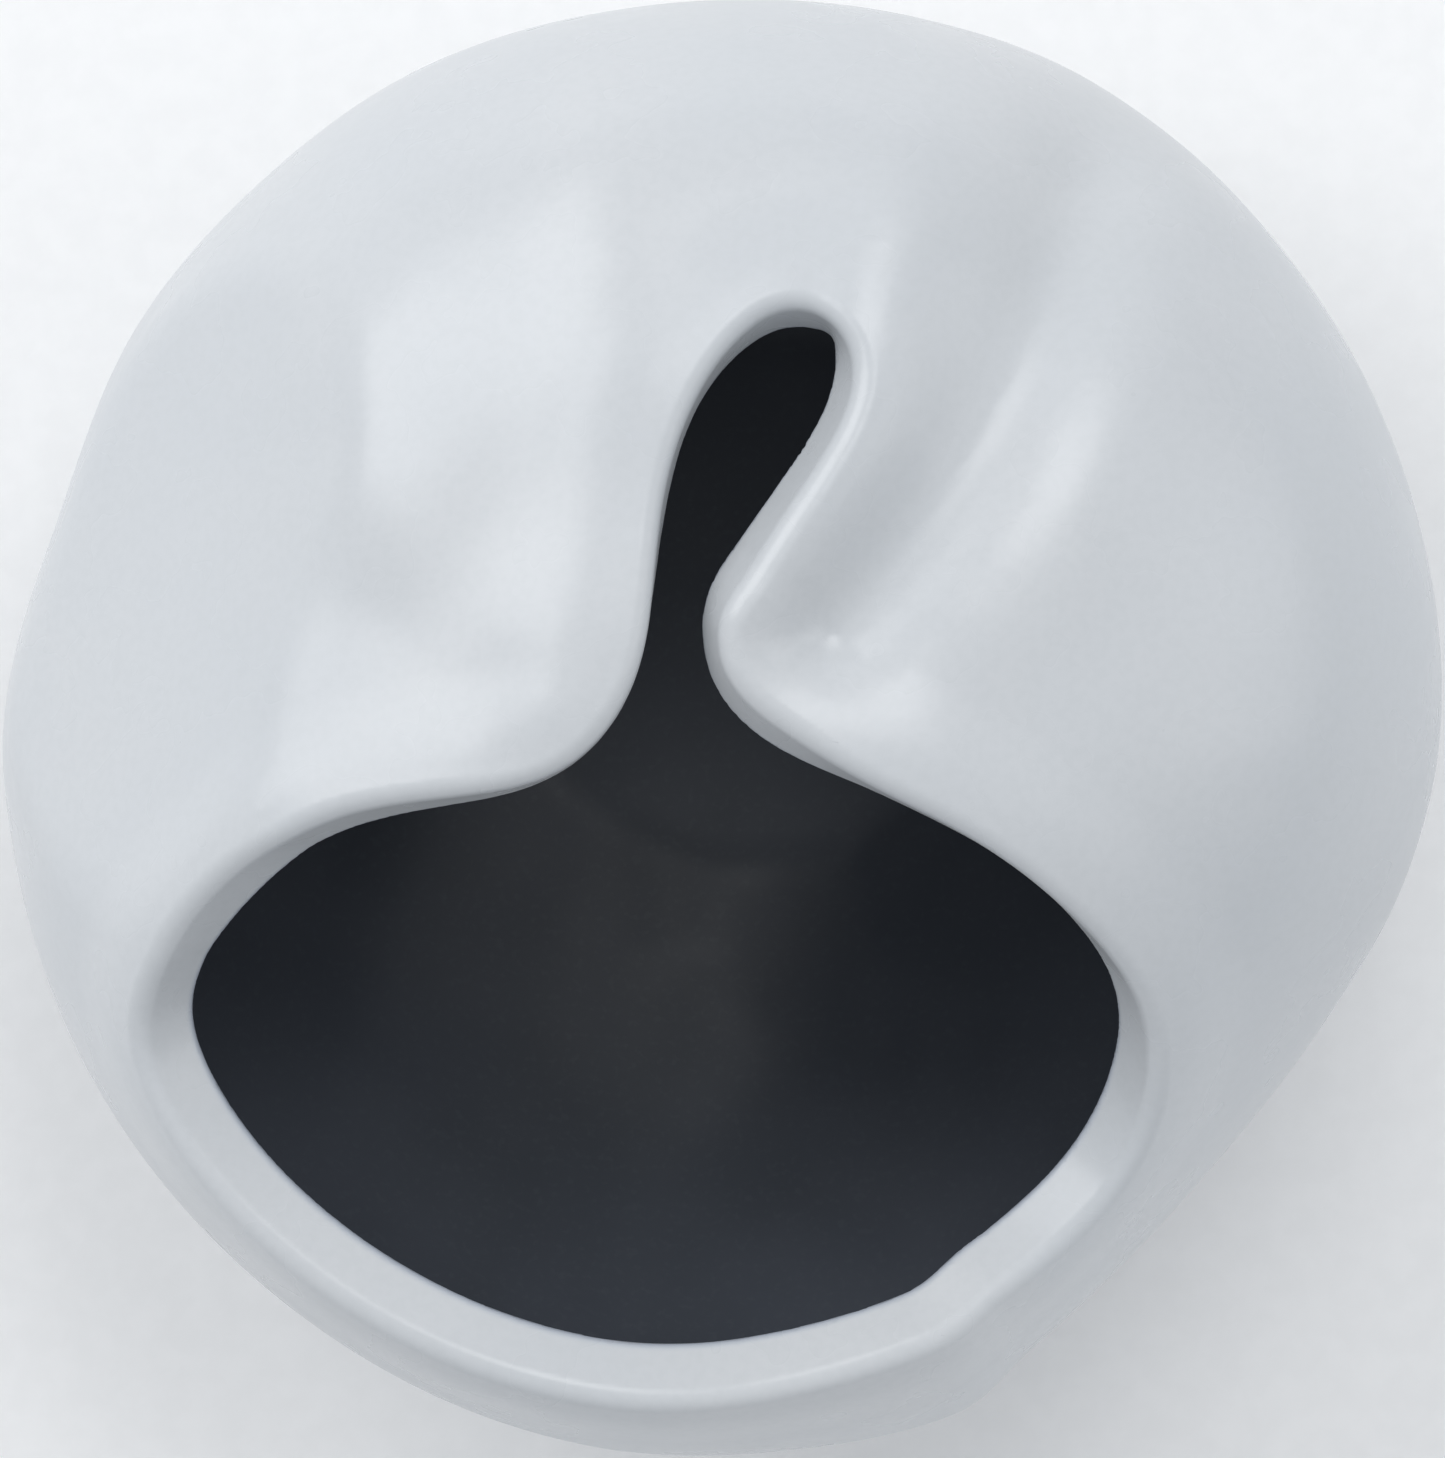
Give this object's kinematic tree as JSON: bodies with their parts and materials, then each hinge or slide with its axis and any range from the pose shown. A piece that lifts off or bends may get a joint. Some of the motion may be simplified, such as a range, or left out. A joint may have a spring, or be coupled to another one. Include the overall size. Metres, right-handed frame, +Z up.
{
  "type": "yarn bowl",
  "caption": "Rounded ceramic yarn bowl, closed like a pebble, with a wide front mouth and a yarn slot that ends in a teardrop eye.",
  "frame": {"origin": "middle of the flat foot that the bowl stands on", "axes": "+Z up, mouth towards -Y, +X to the right of someone facing the mouth"},
  "size_m": [0.16, 0.1612, 0.1048],
  "materials": {
    "clay_body": "bare fired stoneware, matte",
    "outer_glaze": "pale grey-white satin glaze",
    "inner_glaze": "charcoal satin glaze"
  },
  "bodies": {
    "root": {"clay_body": "clay_body", "outer_glaze": "outer_glaze", "inner_glaze": "inner_glaze"}
  },
  "joints": []
}
